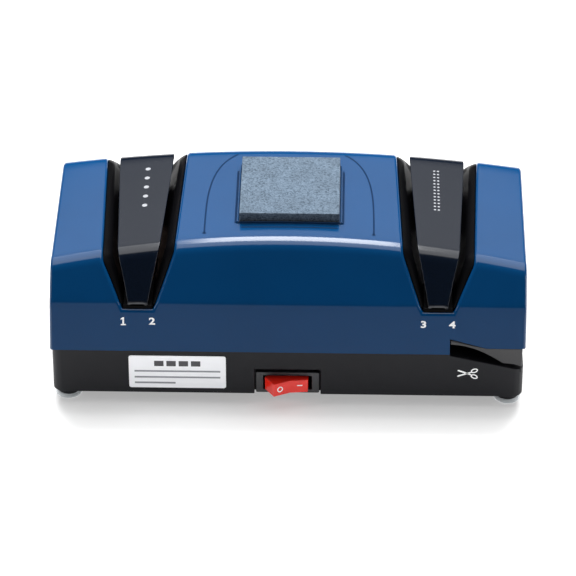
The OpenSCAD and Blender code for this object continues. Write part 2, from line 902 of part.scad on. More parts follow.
module rotor_core() {
    color([0.5, 0.5, 0.52])
        difference() {
            on_axis(rotor_left, rotor_right - rotor_left, rotor_r);
            on_axis(rotor_left - 1, rotor_right - rotor_left + 2, shaft_r);
            for (i = [0 : rotor_slots - 1])
                translate([rotor_left - 1, 0, axis_z])
                    rotate([360 * i / rotor_slots, 0, 0]) {
                        translate([0, 0, 12.5])
                            rotate([0, 90, 0])
                                cylinder(r = 2.4, h = 60);
                        translate([0, -0.7, 12.5])
                            cube([60, 1.4, 9]);
                    }
        }
}

module rotor_windings() {
    color([0.72, 0.4, 0.2])
        translate([0, 0, axis_z])
            rotate([0, 90, 0]) {
                for (x = [rotor_left - 5.1, rotor_right + 0.1])
                    translate([0, 0, x])
                        rotate_extrude()
                            polygon([[8, 0], [14, 0], [15, 1], [15, 4], [14, 5], [8, 5]]);
                for (i = [0 : rotor_slots - 1])
                    rotate([0, 0, 360 * i / rotor_slots])
                        translate([12.5, 0, rotor_left - 1])
                            cylinder(r = 2.1, h = rotor_right - rotor_left + 2, $fn = 24);
            }
}

module commutator() {
    color([0.75, 0.45, 0.25])
        difference() {
            ring_on_axis(22, 9.5, commutator_r, shaft_r);
            for (i = [0 : rotor_slots - 1])
                translate([0, 0, axis_z])
                    rotate([360 * i / rotor_slots, 0, 0])
                        box([23, -0.2, commutator_r - 1], [33, 0.2, commutator_r + 1]);
        }
}

module cooling_fan() {
    color([0.85, 0.85, 0.83])
        union() {
            ring_on_axis(-57, 9, 7.5, shaft_r);
            for (i = [0 : 6])
                translate([-52.5, 0, axis_z])
                    rotate([360 * i / 7, 0, 0])
                        translate([0, 0, 6.8])
                            rotate([0, 0, 35])
                                translate([-0.6, -5, 0])
                                    cube([1.2, 10, 14]);
        }
}

module shaft_collars() {
    color([0.6, 0.6, 0.62])
        for (x = [-station_x + wheel_hub_half, station_x - wheel_hub_half - 4])
            ring_on_axis(x, 4, 7, shaft_r);
}

module wheel_hub(x, half, r) {
    color([0.75, 0.76, 0.78])
        ring_on_axis(x - half, 2 * half, r, shaft_r);
}

// Abrasive ring with a conical flank on each side.
module grinding_wheel(x, outer_r, hub_r, flank_r, rim_half, flank_half) {
    translate([x, 0, axis_z])
        rotate([0, 90, 0])
            rotate_extrude()
                polygon([
                    [hub_r, -flank_half], [flank_r, -flank_half], [outer_r - 0.6, -rim_half],
                    [outer_r, -rim_half + 0.6], [outer_r, rim_half - 0.6], [outer_r - 0.6, rim_half],
                    [flank_r, flank_half], [hub_r, flank_half]
                ]);
}

module station_wheel(x) {
    grinding_wheel(x, wheel_r, wheel_flank_r - 1, wheel_flank_r, wheel_rim_half, wheel_flank_half);
}

module coarse_wheel_hub() wheel_hub(-station_x, wheel_hub_half, wheel_flank_r - 1);
module fine_wheel_hub() wheel_hub(station_x, wheel_hub_half, wheel_flank_r - 1);
module scissors_wheel_hub() wheel_hub(scissors_x, scissors_hub_half, 8);

module coarse_wheel() {
    color([0.42, 0.33, 0.28])
        station_wheel(-station_x);
}

module fine_wheel() {
    color([0.85, 0.84, 0.8])
        station_wheel(station_x);
}

module scissors_wheel() {
    color([0.8, 0.78, 0.72])
        grinding_wheel(scissors_x, scissors_wheel_r, 8, 10, 2.2, 3.6);
}

module wheel_spacer() {
    left = station_x + wheel_hub_half;
    color([0.75, 0.75, 0.76])
        ring_on_axis(left, scissors_x - scissors_hub_half - left, 6.5, shaft_r);
}

module wheel_washers() {
    color([0.72, 0.72, 0.74])
        for (x = [-station_x - wheel_hub_half - washer_t, scissors_x + scissors_hub_half])
            ring_on_axis(x, washer_t, 7.5, shaft_r);
}

module wheel_nuts() {
    color([0.72, 0.72, 0.74])
        for (x = [-station_x - wheel_hub_half - washer_t - nut_h, scissors_x + scissors_hub_half + washer_t])
            difference() {
                translate([x, 0, axis_z])
                    rotate([0, 90, 0])
                        cylinder(r = 7.2, h = nut_h, $fn = 6);
                on_axis(x - 1, nut_h + 2, shaft_r);
            }
}

// ---- Electrics ----

module circuit_board() {
    color([0.1, 0.4, 0.2])
        difference() {
            box([-30, board_y, 12], [30, board_y + board_t, 38]);
            for (sx = [-1, 1])
                translate([sx * pillar_x, board_y + board_t + 1, 30])
                    rotate([90, 0, 0])
                        cylinder(r = 1.4, h = 9);
        }
}

module bridge_rectifier() {
    color([0.07, 0.07, 0.07])
        box([-16, board_y - 4, 16], [-1, board_y, 30]);
}

module board_capacitor() {
    color([0.15, 0.2, 0.4])
        translate([10, board_y - 5.5, 14])
            cylinder(r = 5.5, h = 18);
}

module board_screws() {
    color([0.7, 0.7, 0.72])
        for (sx = [-1, 1])
            translate([sx * pillar_x, board_y, 30])
                rotate([-90, 0, 0])
                    bolt(1.15, 2.3, 1.4, 6);
}

// Wire of radius r through a list of points, as ten-sided runs that overlap at each bend.
module wire(points, r) {
    for (i = [0 : len(points) - 2]) {
        run = points[i + 1] - points[i];
        length = norm(run);
        translate(points[i])
            rotate([0, acos(run[2] / length), atan2(run[1], run[0])])
                translate([0, 0, -r / 2])
                    cylinder(r = r, h = length + r, $fn = 10);
    }
}

module mains_leads() {
    start_y = gland_inner_y - 2;
    color([0.5, 0.25, 0.1]) {
        wire([[gland_x - 1.5, start_y, gland_z], [-60, 30, lead_z], [-44, lead_front_y, lead_z],
              [-19, lead_front_y, lead_z], [-17, lead_tab_y, switch_z], [-9.8, lead_tab_y, switch_z]],
             lead_r);
        wire([[gland_x + 1.5, start_y, gland_z], [-58, 40.5, 15], [-32, 40.5, 15], [-26, 41, 18],
              [-26, lead_end_y, 20]], lead_r);
    }
}

module motor_leads() {
    color([0.6, 0.05, 0.05]) {
        wire([[9.8, lead_tab_y, switch_z], [17, lead_tab_y, switch_z], [19, lead_front_y, lead_z],
              [40, lead_front_y, lead_z], [40, 40.5, 13], [27, 41, 16], [26, lead_end_y, 20]], lead_r);
        wire([[18, lead_end_y, 34], [20, 41, 41], [34, 40, 44], [38.4, 27, 46], [38.4, 18, axis_z + 4]],
             lead_r);
    }
}

upper_housing();
base_shell();
coarse_slot_liner();
coarse_wheel_hood();
fine_slot_liner();
fine_wheel_hood();
scissors_guide();
whetstone();
whetstone_adhesive_pad();
information_label();
foot_front_left();
foot_front_right();
foot_rear_left();
foot_rear_right();
housing_screws();
hood_screws();
cord_gland();
switch_body();
switch_rocker();
switch_terminals();
motor_can();
field_magnets();
left_end_bell();
right_end_bell();
left_motor_bearing();
right_motor_bearing();
motor_tie_screws();
brush_holders();
carbon_brushes();
brush_springs();
motor_dampers();
motor_straps();
motor_strap_screws();
thermal_cutout();
motor_shaft();
rotor_core();
rotor_windings();
commutator();
cooling_fan();
shaft_collars();
coarse_wheel_hub();
coarse_wheel();
fine_wheel_hub();
fine_wheel();
wheel_spacer();
scissors_wheel_hub();
scissors_wheel();
wheel_washers();
wheel_nuts();
circuit_board();
bridge_rectifier();
board_capacitor();
board_screws();
mains_leads();
motor_leads();
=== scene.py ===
import json
import math

import bmesh
import bpy
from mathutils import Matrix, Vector


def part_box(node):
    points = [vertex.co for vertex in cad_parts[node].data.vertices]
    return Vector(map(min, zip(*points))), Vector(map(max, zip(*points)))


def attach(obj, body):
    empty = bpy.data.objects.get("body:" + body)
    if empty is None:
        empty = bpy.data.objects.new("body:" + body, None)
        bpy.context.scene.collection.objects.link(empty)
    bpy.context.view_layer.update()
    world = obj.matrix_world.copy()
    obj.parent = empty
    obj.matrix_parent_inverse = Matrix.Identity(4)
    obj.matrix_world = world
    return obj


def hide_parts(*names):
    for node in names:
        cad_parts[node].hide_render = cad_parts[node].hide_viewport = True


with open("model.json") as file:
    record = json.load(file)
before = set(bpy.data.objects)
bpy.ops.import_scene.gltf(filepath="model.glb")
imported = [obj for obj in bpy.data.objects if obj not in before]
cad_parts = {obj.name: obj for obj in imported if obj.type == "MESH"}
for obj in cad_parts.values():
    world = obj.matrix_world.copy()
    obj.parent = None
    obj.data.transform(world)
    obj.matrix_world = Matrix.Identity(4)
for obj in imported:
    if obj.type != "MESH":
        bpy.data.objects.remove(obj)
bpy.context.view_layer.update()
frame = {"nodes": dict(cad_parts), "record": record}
NODES = frame["nodes"]
BODY = "sharpener_body"

# ---- Sizes, in millimetres and degrees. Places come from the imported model. ----

MM = 0.001
shell_lo, shell_hi = (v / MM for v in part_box("upper_housing"))
base_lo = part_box("base_shell")[0] / MM
stone_lo, stone_hi = (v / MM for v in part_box("whetstone"))

# The housing's side outline: lower face, waist, upper face, shoulder, crowned top, crest, back.
HALF_W = shell_hi.x
TOP_Z = shell_hi.z
PARTING_Z = TOP_Z - 46.9
FRONT_Y = shell_lo.y
BACK_Y = shell_hi.y
CROWN = 9.0
WALL = 2.5
END_R = 1.6
WAIST = Vector((FRONT_Y + 7.7, PARTING_Z + 22.4))
SHOULDER = Vector((FRONT_Y + 28.0, TOP_Z))
CREST_Y = BACK_Y - 2.0
WAIST_R, SHOULDER_R, CREST_R = 9.0, 12.0, 12.0
FACE_LEAN = (SHOULDER.x - WAIST.x) / (SHOULDER.y - WAIST.y)
FOOT_LEAN = (WAIST.x - FRONT_Y) / (WAIST.y - PARTING_Z)
FOOT_ANGLE = math.atan(FOOT_LEAN)
BACK_LEAN = (BACK_Y - CREST_Y) / (TOP_Z - PARTING_Z)

# The two stations: mouths in the housing, with hoods and slot liners in them.
STATION_X = 73.0
STATION_L = 85.3
MOUTH_HALF, MOUTH_TAPER, MOUTH_FOOT = 17.5, 2.7 / STATION_L, 7.5
HOOD_HALF, HOOD_TAPER, HOOD_FOOT = 10.45, 3.85 / STATION_L, 4.6
SLOT_W = 2.3
MOUTH_Z = PARTING_Z + 19.6
LEDGE_Z = MOUTH_Z + 1.8
STATION_TOP_Z = TOP_Z - CROWN * (STATION_X / HALF_W) ** 2
KNEE_Z = STATION_TOP_Z - 3.0
WHEEL_ROOM = 26.0
HOOD_WINDOW_Z = 65.0
HOOD_INSET = 0.15
HOOD_WALL = 1.5

# The scissors notch at the right end, and the whetstone's seat.
SLOT_X = 79.0
SLOT_BACK_Y = -9.5
NOTCH_LEFT_Z = PARTING_Z + 7.4
NOTCH_RIGHT_Z = PARTING_Z + 3.1
NOTCH_BEND_X = 97.0
SEAT_GAP = 0.4


# ---- Camera ----

CAMERA_ELEVATION, CAMERA_AZIMUTH = math.radians(35.0), math.radians(1.2)
CAMERA_TARGET = Vector((0.0, -44.3, 61.4)) * MM
CAMERA_DISTANCE = 1.750
SENSOR_MM, LENS_MM = 36.0, 225.4
NEAREST, FARTHEST = 0.05, 20.0


def make_camera():
    """Long lens that looks down at the front."""
    look = Vector((-math.sin(CAMERA_AZIMUTH) * math.cos(CAMERA_ELEVATION),
                   math.cos(CAMERA_AZIMUTH) * math.cos(CAMERA_ELEVATION),
                   -math.sin(CAMERA_ELEVATION)))
    data = bpy.data.cameras.new("camera")
    data.sensor_width = SENSOR_MM
    data.lens = LENS_MM
    data.clip_start = NEAREST
    data.clip_end = FARTHEST
    camera = bpy.data.objects.new("camera", data)
    camera.location = CAMERA_TARGET - look * CAMERA_DISTANCE
    camera.rotation_euler = look.to_track_quat("-Z", "Y").to_euler()
    bpy.context.scene.collection.objects.link(camera)
    bpy.context.scene.camera = camera


# ---- Outline of the housing ----

def turned(u, v, angle):
    """Point (u, v) turned about the origin."""
    c, s = math.cos(angle), math.sin(angle)
    return u * c - v * s, u * s + v * c


def inset_corner(a, b, c, inset):
    """Corner b between a and c with both of its sides set in by inset."""
    u, v = (a - b).normalized(), (c - b).normalized()
    return b + (u + v).normalized() * (inset / math.sin(math.acos(u.dot(v)) / 2))


def corner_arc(a, b, c, radius, steps):
    """Points of the arc that rounds corner b."""
    u, v = (a - b).normalized(), (c - b).normalized()
    half = math.acos(u.dot(v)) / 2
    centre = b + (u + v).normalized() * (radius / math.sin(half))
    p = b + u * (radius / math.tan(half)) - centre
    q = b + v * (radius / math.tan(half)) - centre
    turn = math.acos(max(-1.0, min(1.0, p.dot(q) / radius ** 2)))
    turn = math.copysign(turn, p.x * q.y - p.y * q.x)
    return [centre + Vector(turned(p.x, p.y, turn * i / steps)) for i in range(steps + 1)]


def at_height(a, b, z):
    """Point at height z on the line from a to b, both as (y, z)."""
    return a + (b - a) * ((z - a.y) / (b.y - a.y))


def notch_z(x):
    """Height of the scissors notch's upper edge at x."""
    t = max(0.0, min(1.0, (x - SLOT_X) / (NOTCH_BEND_X - SLOT_X)))
    return NOTCH_LEFT_Z + (NOTCH_RIGHT_Z - NOTCH_LEFT_Z) * t


# Rows of the skin's grid: places on the top, heights on the front and the back, and steps.
TOP_ROWS = (-22.0, stone_lo.y - SEAT_GAP, -3.0, 8.0, 19.0, 29.0, stone_hi.y + SEAT_GAP, 43.5)
DIGIT_Z = 46.0
BACK_HIGH_Z, BACK_LOW_Z = 58.0, 42.0
FACE_STEPS = 5
WAIST_STEPS, SHOULDER_STEPS, CREST_STEPS = 2, 10, 10
# How far below the parting line the front's and the back's lines are carried on.
BELOW = 20.0


def side_rows(x, inset):
    """Points (y, z) of the housing's side outline at x, from the front's foot to the back's."""
    drop = CROWN * (x / HALF_W) ** 2
    corners = [
        Vector((FRONT_Y - BELOW * FOOT_LEAN, PARTING_Z - BELOW)),
        WAIST.copy(),
        SHOULDER - drop * Vector((FACE_LEAN, 1.0)),
        Vector((CREST_Y + drop * BACK_LEAN, TOP_Z - drop)),
        Vector((BACK_Y + BELOW * BACK_LEAN, PARTING_Z - BELOW)),
    ]
    c = [inset_corner(corners[i - 1], corners[i], corners[(i + 1) % 5], inset)
         for i in range(5)]
    rows = [at_height(c[0], c[1], z) for z in (PARTING_Z, notch_z(x), DIGIT_Z, MOUTH_Z)]
    waist = corner_arc(*c[0:3], WAIST_R - inset, WAIST_STEPS)
    shoulder = corner_arc(*c[1:4], SHOULDER_R - inset, SHOULDER_STEPS)
    crest = corner_arc(*c[2:5], CREST_R - inset, CREST_STEPS)
    rows += waist[1:]
    rows += [waist[-1].lerp(shoulder[0], i / FACE_STEPS) for i in range(1, FACE_STEPS)]
    rows += shoulder
    rows += [Vector((y, c[2].y)) for y in TOP_ROWS]
    rows += crest
    rows += [at_height(c[3], c[4], z) for z in (BACK_HIGH_Z, MOUTH_Z, BACK_LOW_Z, PARTING_Z)]
    return rows


ROW_COUNT = len(side_rows(0.0, 0.0))
FRONT_MOUTH_ROW = 3
BACK_MOUTH_ROW = ROW_COUNT - 3
HOOD_ROW = FRONT_MOUTH_ROW + 1
SHOULDER_ROW = FRONT_MOUTH_ROW + WAIST_STEPS + FACE_STEPS
TOP_ROW = SHOULDER_ROW + SHOULDER_STEPS + 1
SEAT_ROWS = (TOP_ROW + 1, TOP_ROW + 6)


def mouth_half(y, z):
    """Half width of the housing's mouth at a point of its skin."""
    plan = MOUTH_HALF + max(0.0, y - SHOULDER.x) * MOUTH_TAPER
    if z >= KNEE_Z:
        return plan
    top = MOUTH_HALF if y < 0 else MOUTH_HALF + (CREST_Y - SHOULDER.x) * MOUTH_TAPER
    rise = max(0.0, min(1.0, (z - MOUTH_Z) / (KNEE_Z - MOUTH_Z)))
    return min(plan, MOUTH_FOOT + (top - MOUTH_FOOT) * rise)


def hood_half(y, z):
    """Half width of a hood, which narrows from the top down to the ledge."""
    top = HOOD_HALF + (y - SHOULDER.x) * HOOD_TAPER
    return HOOD_FOOT + (top - HOOD_FOOT) * (z - LEDGE_Z) / (STATION_TOP_Z - LEDGE_Z)


def housing_top(x):
    """Height of the housing's crowned top at x."""
    return TOP_Z - CROWN * (x / HALF_W) ** 2


# ---- Mesh helpers ----

def to_object(name, bm, material):
    """New object from a finished bmesh, with its normals turned outwards."""
    bmesh.ops.recalc_face_normals(bm, faces=bm.faces)
    mesh = bpy.data.meshes.new(name)
    bm.to_mesh(mesh)
    bm.free()
    mesh.materials.append(material)
    obj = bpy.data.objects.new(name, mesh)
    bpy.context.scene.collection.objects.link(obj)
    return obj


def soften(obj, bevel, angle=35.0, segments=2, marked=False):
    """Rounds the sharp edges, or only the marked ones, and smooths the rest."""
    for polygon in obj.data.polygons:
        polygon.use_smooth = True
    if bevel:
        modifier = obj.modifiers.new("edges", "BEVEL")
        modifier.width = bevel * MM
        modifier.segments = segments
        modifier.limit_method = "WEIGHT" if marked else "ANGLE"
        modifier.angle_limit = math.radians(angle)
        modifier.use_clamp_overlap = False
        modifier.harden_normals = True
    normals = obj.modifiers.new("normals", "WEIGHTED_NORMAL")
    normals.keep_sharp = True
    normals.weight = 100


def grid_faces(bm, grid, skip=lambda row, column: False):
    """Faces between neighbouring rows and columns of vertices, except where skip says so."""
    for r in range(len(grid) - 1):
        for c in range(len(grid[r]) - 1):
            if skip(r, c):
                continue
            corners = [grid[r][c], grid[r][c + 1], grid[r + 1][c + 1], grid[r + 1][c]]
            corners = list(dict.fromkeys(corners))
            if len(corners) > 2:
                bm.faces.new(corners)


def strip(bm, first, second):
    """Quads between two lists of vertices of equal length."""
    for i in range(len(first) - 1):
        bm.faces.new([first[i], first[i + 1], second[i + 1], second[i]])


def ring_round(grid, rows, columns):
    """Closed ring of a grid's vertices round a block of its cells."""
    (low, high), (first, last) = rows, columns
    ring = [grid[low][c] for c in range(first, last)]
    ring += [grid[r][last] for r in range(low, high)]
    ring += [grid[high][c] for c in range(last, first, -1)]
    ring += [grid[r][first] for r in range(high, low, -1)]
    return ring


def mark_ring(bm, ring, weight):
    """Gives the edges along a ring or a chain of vertices a bevel weight."""
    layers = bm.edges.layers.float
    layer = layers.get("bevel_weight_edge") or layers.new("bevel_weight_edge")
    for a, b in zip(ring, ring[1:] + ring[:1]):
        edge = bm.edges.get((a, b))
        if edge:
            edge[layer] = weight


def drop_loose(bm):
    """Deletes the vertices that no face uses."""
    loose = [v for v in bm.verts if not v.link_faces]
    bmesh.ops.delete(bm, geom=loose, context="VERTS")


# ---- Upper housing ----

# Columns are counted from the skin's left end. The outer skin has BEND_STEPS more at each end.
INNER_X = 50.0
BEND_STEPS = 4
MOUTH_COLUMNS = (4, 8)
SEAT_COLUMNS = (13, 19)
NOTCH_COLUMNS = 4
MOUTH_ROWS = (FRONT_MOUTH_ROW, BACK_MOUTH_ROW)
SIDE_SHARES = ((0.0, 0.25, 0.5, 0.75), (0.0, 0.25, 0.5, 0.75), (0.0, 0.5), (0.0, 0.33, 0.67))
MIDDLE_SHARES = (0.67, 0.33, 0.0, -0.33, -0.67)


def housing_columns(row, inset):
    """List of (x, extra inset) across a row of the housing, with columns at the mouths' edges."""
    by_notch = row < 2
    y, z = side_rows(STATION_X, inset)[row]
    half = SLOT_X - STATION_X if by_notch else mouth_half(y, z)
    edge = HALF_W - END_R if inset == 0.0 else HALF_W - WALL
    stops = [-edge, -STATION_X - half, -STATION_X + half, -INNER_X, -stone_hi.x - SEAT_GAP]
    left = []
    for start, end, shares in zip(stops, stops[1:], SIDE_SHARES):
        left += [start + (end - start) * share for share in shares]
    left.append(stops[-1])
    middle = [stops[-1] * share for share in MIDDLE_SHARES]
    right = [-x for x in reversed(left)]
    if by_notch:
        reach = edge - SLOT_X
        right[-5:] = [SLOT_X, SLOT_X + reach * 0.25, NOTCH_BEND_X, SLOT_X + reach * 0.75, edge]
    columns = [(x, 0.0) for x in left + middle + right]
    if inset == 0.0:
        bend = []
        for i in range(BEND_STEPS):
            a = math.pi / 2 * i / BEND_STEPS
            bend.append((HALF_W - END_R + END_R * math.cos(a), END_R - END_R * math.sin(a)))
        columns = [(-x, e) for x, e in bend] + columns + [(x, e) for x, e in reversed(bend)]
    return columns


def housing_grid(bm, inset):
    """Vertices of the housing's skin, row by row."""
    grid = []
    for row in range(ROW_COUNT):
        line = []
        for x, extra in housing_columns(row, inset):
            y, z = side_rows(x, inset + extra)[row]
            line.append(bm.verts.new((x * MM, y * MM, z * MM)))
        grid.append(line)
    return grid


def upper_housing(material):
    """Shell with two skins, both mouths, the whetstone's seat and the scissors notch."""
    bm = bmesh.new()
    outer = housing_grid(bm, 0.0)
    inner = housing_grid(bm, WALL)
    steps = []
    for grid, ends in ((outer, BEND_STEPS), (inner, 0)):
        last = len(grid[0]) - 1 - ends
        left_mouth = range(ends + MOUTH_COLUMNS[0], ends + MOUTH_COLUMNS[1])
        right_mouth = range(last - MOUTH_COLUMNS[1], last - MOUTH_COLUMNS[0])
        seat = range(ends + SEAT_COLUMNS[0], ends + SEAT_COLUMNS[1])
        notch = range(last - NOTCH_COLUMNS, last + ends)

        def open_cell(row, column):
            if FRONT_MOUTH_ROW <= row < BACK_MOUTH_ROW:
                if column in left_mouth or column in right_mouth:
                    return True
            if grid is outer and SEAT_ROWS[0] <= row < SEAT_ROWS[1] and column in seat:
                return True
            return row == 0 and column in notch

        grid_faces(bm, grid, open_cell)
        end_cap(bm, [line[0] for line in grid], None)
        steps.append(end_cap(bm, [line[-1] for line in grid], SLOT_BACK_Y))
    seat_ring = ring_round(outer, SEAT_ROWS, [BEND_STEPS + c for c in SEAT_COLUMNS])
    seat_pocket(bm, seat_ring)
    near, far = (BEND_STEPS + c for c in MOUTH_COLUMNS)
    right_end = len(outer[0]) - 1
    mouths = ((near, far), (right_end - far, right_end - near))
    for mouth in mouths:
        for column in mouth:
            rows = range(FRONT_MOUTH_ROW, BACK_MOUTH_ROW + 1)
            strip(bm, [outer[r][column] for r in rows],
                  [inner[r][column - BEND_STEPS] for r in rows])
        for row in MOUTH_ROWS:
            columns = range(mouth[0], mouth[1] + 1)
            strip(bm, [outer[row][c] for c in columns],
                  [inner[row][c - BEND_STEPS] for c in columns])
    close_foot(bm, outer, inner, steps)
    drop_loose(bm)
    for mouth in mouths:
        mark_ring(bm, ring_round(outer, MOUTH_ROWS, mouth), 1.0)
    mark_ring(bm, seat_ring, 0.3)
    obj = to_object("upper_housing_shell", bm, material)
    soften(obj, 1.3, 38.0, 3, marked=True)
    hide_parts("upper_housing")
    return obj


def end_cap(bm, line, step_y):
    """Flat end face over a column of vertices, with a step over the scissors slot at step_y."""
    if step_y is None:
        bm.faces.new(line)
        return []
    low, high = line[-1].co, line[1].co
    step = [bm.verts.new((low.x, step_y * MM, z)) for z in (low.z, high.z)]
    bm.faces.new(line[1:] + step)
    return [step[1], step[0]]


def seat_pocket(bm, ring):
    """Walls and floor of the whetstone's seat."""
    floor_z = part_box("whetstone_adhesive_pad")[0].z
    lower = [bm.verts.new((v.co.x, v.co.y, floor_z)) for v in ring]
    strip(bm, ring + ring[:1], lower + lower[:1])
    bm.faces.new(lower)


def close_foot(bm, outer, inner, steps):
    """Joins both skins along the parting line and round the scissors notch, with sharp edges."""
    last = len(outer[0]) - 1
    notch = last - BEND_STEPS - NOTCH_COLUMNS

    def across(row, column):
        within = max(0, min(len(inner[0]) - 1, column - BEND_STEPS))
        return outer[row][column], inner[row][within]

    pairs = [across(0, c) for c in range(notch + 1)]
    pairs += [across(1, c) for c in range(notch, last + 1)]
    pairs += zip(*steps)
    pairs += [across(-1, c) for c in range(last, -1, -1)]
    for (a, b), (c, d) in zip(pairs, pairs[1:] + pairs[:1]):
        bm.faces.new(list(dict.fromkeys([a, b, d, c])))
        for first, second in ((a, c), (b, d)):
            edge = bm.edges.get((first, second)) if first != second else None
            if edge:
                edge.smooth = False


# ---- Stations: hoods and liners ----

WINDOW_ROWS = (SEAT_ROWS[0] - 1 - HOOD_ROW, SEAT_ROWS[1] - 1 - HOOD_ROW)
HOOD_SHARES = (-1.0, -0.6, -0.2, 0.2, 0.6, 1.0)
LINER_START = math.radians(38.0)
LINER_STEPS = 5
LINER_RIM = 0.8
LINER_GAP = 0.3
LINER_DIP = 1.2
LINER_UNDER = WALL + 0.5
SLOT_WALL = 1.5
WALL_FOOT_Z = LEDGE_Z + 4.0
LEDGE_LOW_Z = MOUTH_Z + 0.1
LEDGE_DEEP_Z = LEDGE_Z - 3.2


def station_row(x, inset, row):
    """Point (y, z) of a station's row, the last of which ends at the ledge."""
    rows = side_rows(x, inset)
    if row < BACK_MOUTH_ROW:
        return rows[row]
    return at_height(rows[row - 1], rows[row], LEDGE_Z)


def wheel_hood(name, x, material):
    """Thin cover over a wheel: its top follows the housing and its sides lean in to the ledge."""
    bm = bmesh.new()
    top, walls = [], {-1: [], 1: []}
    for row in range(HOOD_ROW, BACK_MOUTH_ROW + 1):
        y, z = station_row(x, HOOD_INSET, row)
        half = hood_half(y, z)
        line = []
        for share in HOOD_SHARES:
            px = x + half * share
            py, pz = station_row(px, HOOD_INSET, row)
            line.append(bm.verts.new((px * MM, py * MM, pz * MM)))
        top.append(line)
        for side, edge in ((-1, line[0]), (1, line[-1])):
            column = [edge]
            for level in (HOOD_WINDOW_Z, LEDGE_Z):
                if level > edge.co.z / MM - 0.5:
                    column.append(column[-1])
                else:
                    px = x + side * hood_half(y, level)
                    column.append(bm.verts.new((px * MM, y * MM, level * MM)))
            walls[side].append(column)
    grid_faces(bm, top)
    for wall in walls.values():
        grid_faces(bm, wall, lambda r, c: c == 1 and WINDOW_ROWS[0] <= r < WINDOW_ROWS[1])
    drop_loose(bm)
    for wall in walls.values():
        mark_ring(bm, [column[0] for column in wall[1:-4]], 1.0)
    obj = to_object(name + "_shell", bm, material)
    solid = obj.modifiers.new("wall", "SOLIDIFY")
    solid.thickness = HOOD_WALL * MM
    solid.offset = -1.0
    soften(obj, 0.5, 35.0, 3, marked=True)
    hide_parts(name)
    return obj


def liner_section(bm, x, side, row):
    """Closed ring of vertices round one wall of a slot liner."""
    y, z = station_row(x, LINER_RIM, row)
    wide = mouth_half(y, z) - LINER_GAP
    slot = min(hood_half(y, z) + SLOT_W, wide - 0.5)
    reach = wide - slot
    sin_start, cos_start = math.sin(LINER_START), math.cos(LINER_START)
    ring = []
    for i in range(LINER_STEPS + 1):
        a = LINER_START + (math.pi / 2 - LINER_START) * i / LINER_STEPS
        across = (math.sin(a) - sin_start) / (1.0 - sin_start)
        px = x + side * (wide - reach * across)
        py, pz = station_row(px, LINER_RIM + LINER_DIP * reach * (cos_start - math.cos(a)), row)
        ring.append((px, py, pz))
    slot_y, slot_z = ring[-1][1:]
    foot = min(WALL_FOOT_Z if abs(y) < WHEEL_ROOM else LEDGE_Z, slot_z - 0.3)
    low = min(hood_half(y, foot) + SLOT_W, slot)
    ring.append((x + side * low, slot_y, foot))
    ring.append((x + side * (low + SLOT_WALL), slot_y, foot))
    for px in (x + side * (wide + 1.2), x + side * wide):
        ring.append((px, *station_row(px, LINER_UNDER, row)))
    return [bm.verts.new((px * MM, py * MM, pz * MM)) for px, py, pz in ring]


def slot_liner(name, x, material):
    """Black insert with a rounded shoulder along each knife slot and a ledge at both ends."""
    bm = bmesh.new()
    for side in (-1, 1):
        rings = [liner_section(bm, x, side, row) for row in range(HOOD_ROW, BACK_MOUTH_ROW + 1)]
        grid_faces(bm, [ring + ring[:1] for ring in rings])
        bm.faces.new(rings[0])
        bm.faces.new(rings[-1])
    for end in (-1, 1):
        ledge(bm, x, end)
    obj = to_object(name + "_insert", bm, material)
    soften(obj, 0.25, 40.0, 2)
    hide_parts(name)
    return obj


def ledge(bm, x, end):
    """Block that carries the hood's foot at the front or the back."""
    rows = side_rows(x, LINER_RIM)
    a, b = (rows[0], rows[FRONT_MOUTH_ROW]) if end < 0 else (rows[-1], rows[BACK_MOUTH_ROW])
    low, high = at_height(a, b, LEDGE_LOW_Z), at_height(a, b, LEDGE_Z)
    under = low.x - end * (WALL - LINER_RIM + 0.3)
    inner = end * (WHEEL_ROOM + 1.0)
    outline = [(low.x, LEDGE_LOW_Z), (high.x, LEDGE_Z), (inner, LEDGE_Z),
               (inner, LEDGE_DEEP_Z), (under, LEDGE_DEEP_Z), (under, LEDGE_LOW_Z)]
    half = MOUTH_FOOT - LINER_GAP
    sides = [[bm.verts.new(((x + side * half) * MM, y * MM, z * MM)) for y, z in outline]
             for side in (-1, 1)]
    strip(bm, sides[0] + sides[0][:1], sides[1] + sides[1][:1])
    for side in sides:
        bm.faces.new(side)


# ---- Materials ----

